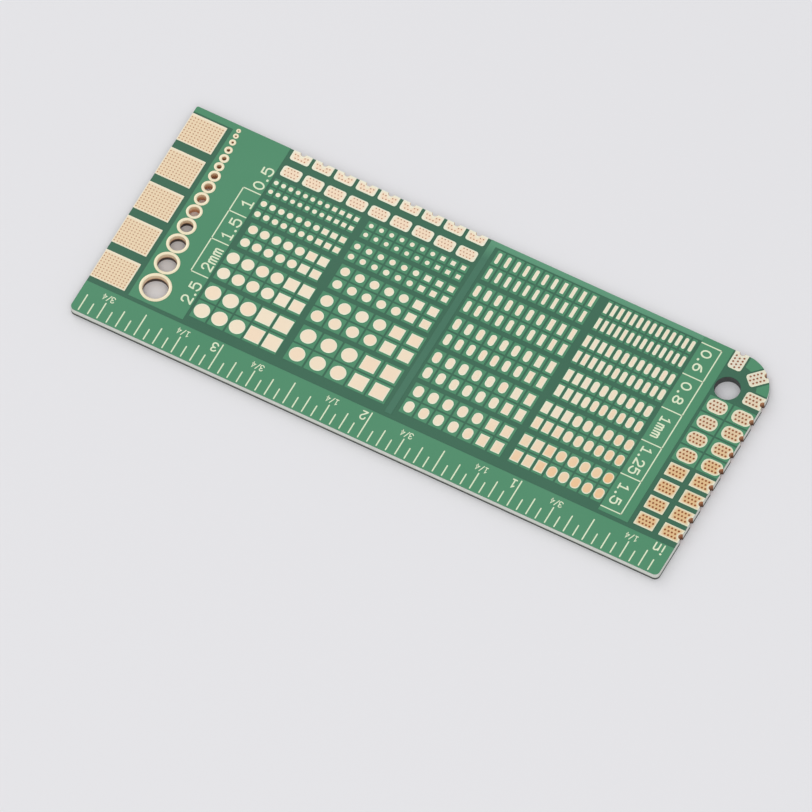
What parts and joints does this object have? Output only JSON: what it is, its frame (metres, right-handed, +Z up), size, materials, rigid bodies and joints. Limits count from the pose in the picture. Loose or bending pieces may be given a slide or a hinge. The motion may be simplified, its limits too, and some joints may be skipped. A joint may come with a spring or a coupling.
{
  "type": "soldering practice board",
  "caption": "Flat circuit board for soldering practice, with graded round and oval lands, plated holes in falling sizes, half-hole edge pads and a printed ruler.",
  "frame": {"origin": "centre of the board's underside", "axes": "+X along the printed ruler, towards the end with the mounting hole; +Y from the ruler edge to the edge with the half holes; +Z up, out of the face with the lands"},
  "size_m": [0.1, 0.04, 0.0016],
  "materials": {
    "masked_laminate": "dark green solder mask on glass-fibre laminate",
    "masked_foil": "green solder mask over copper foil",
    "land_finish": "pale gold plating, semi-bright",
    "hole_plating": "pale gold plating, semi-bright",
    "mesh_finish": "pale gold plating, satin"
  },
  "bodies": {
    "root": {"back_pads_inner": "land_finish", "back_pads_outer": "land_finish", "board": "masked_laminate", "corner_pads": "land_finish", "field_centre": "masked_foil", "field_close_oval": "masked_foil", "field_close_round": "masked_foil", "field_corner": "masked_foil", "field_holes": "masked_foil", "field_label": "masked_foil", "field_right_pads": "masked_foil", "field_ruler": "masked_foil", "field_spaced_oval": "masked_foil", "field_spaced_round": "masked_foil", "lands_close_oval_0_6mm": "land_finish", "lands_close_oval_0_8mm": "land_finish", "lands_close_oval_1_25mm": "land_finish", "lands_close_oval_1_5mm": "land_finish", "lands_close_oval_1mm": "land_finish", "lands_close_round_0_75mm": "land_finish", "lands_close_round_1_5mm": "land_finish", "lands_close_round_1mm": "land_finish", "lands_close_round_2_5mm": "land_finish", "lands_close_round_2mm": "land_finish", "lands_spaced_oval_0_6mm": "land_finish", "lands_spaced_oval_0_8mm": "land_finish", "lands_spaced_oval_1_25mm": "land_finish", "lands_spaced_oval_1_5mm": "land_finish", "lands_spaced_oval_1mm": "land_finish", "lands_spaced_round_0_75mm": "land_finish", "lands_spaced_round_1_5mm": "land_finish", "lands_spaced_round_1mm": "land_finish", "lands_spaced_round_2_5mm": "land_finish", "lands_spaced_round_2mm": "land_finish", "mesh_pads": "mesh_finish", "plated_hole_01": "hole_plating", "plated_hole_02": "hole_plating", "plated_hole_03": "hole_plating", "plated_hole_04": "hole_plating", "plated_hole_05": "hole_plating", "plated_hole_06": "hole_plating", "plated_hole_07": "hole_plating", "plated_hole_08": "hole_plating", "plated_hole_09": "hole_plating", "plated_hole_10": "hole_plating", "plated_hole_11": "hole_plating", "plated_hole_12": "hole_plating", "plated_hole_13": "hole_plating", "plated_hole_14": "hole_plating", "right_pads_inner": "land_finish", "right_pads_outer": "land_finish"}
  },
  "joints": []
}
